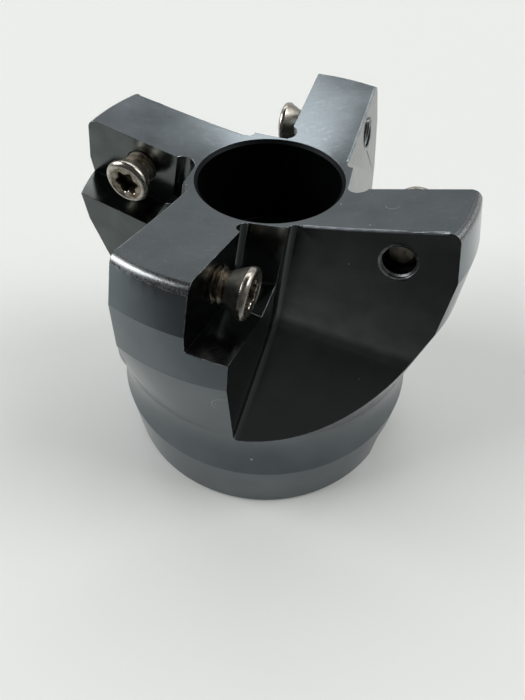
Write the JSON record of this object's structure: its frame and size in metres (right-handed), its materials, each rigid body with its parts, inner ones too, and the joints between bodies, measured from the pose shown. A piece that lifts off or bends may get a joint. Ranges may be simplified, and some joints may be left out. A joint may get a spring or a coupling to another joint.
{
  "type": "indexable face mill",
  "caption": "Arbor-mounted milling cutter body in blackened steel with empty insert pockets, chip gullets and partly unscrewed clamping screws.",
  "frame": {"origin": "centre of the mounting face, on the tool axis", "axes": "+Z along the tool axis towards the cutting end, +X along the radial line of tooth 1; teeth are numbered anticlockwise seen from the cutting end"},
  "size_m": [0.0506, 0.0506, 0.0451],
  "materials": {
    "black_oxide_steel": "black oxide over turned and milled alloy steel, satin",
    "bright_screw_steel": "nickel-bright heat-treated steel with a matt cone"
  },
  "bodies": {
    "body": {"cutter_body": "black_oxide_steel"},
    "screw_1": {"insert_screw_1": "bright_screw_steel"},
    "screw_2": {"insert_screw_2": "bright_screw_steel"},
    "screw_3": {"insert_screw_3": "bright_screw_steel"},
    "screw_4": {"insert_screw_4": "bright_screw_steel"}
  },
  "joints": [
    {"name": "insert_screw_1_feed", "type": "slide", "parent": "body", "child": "screw_1", "axis": [0, 0.9974, -0.0715], "range_m": [-0.0005, 0.00625]},
    {"name": "insert_screw_2_feed", "type": "slide", "parent": "body", "child": "screw_2", "axis": [-0.9974, 0, -0.0715], "range_m": [-0.00095, 0.0058]},
    {"name": "insert_screw_3_feed", "type": "slide", "parent": "body", "child": "screw_3", "axis": [0, -0.9974, -0.0715], "range_m": [-0.00145, 0.0053]},
    {"name": "insert_screw_4_feed", "type": "slide", "parent": "body", "child": "screw_4", "axis": [0.9974, 0, -0.0715], "range_m": [-0.00145, 0.0053]}
  ]
}
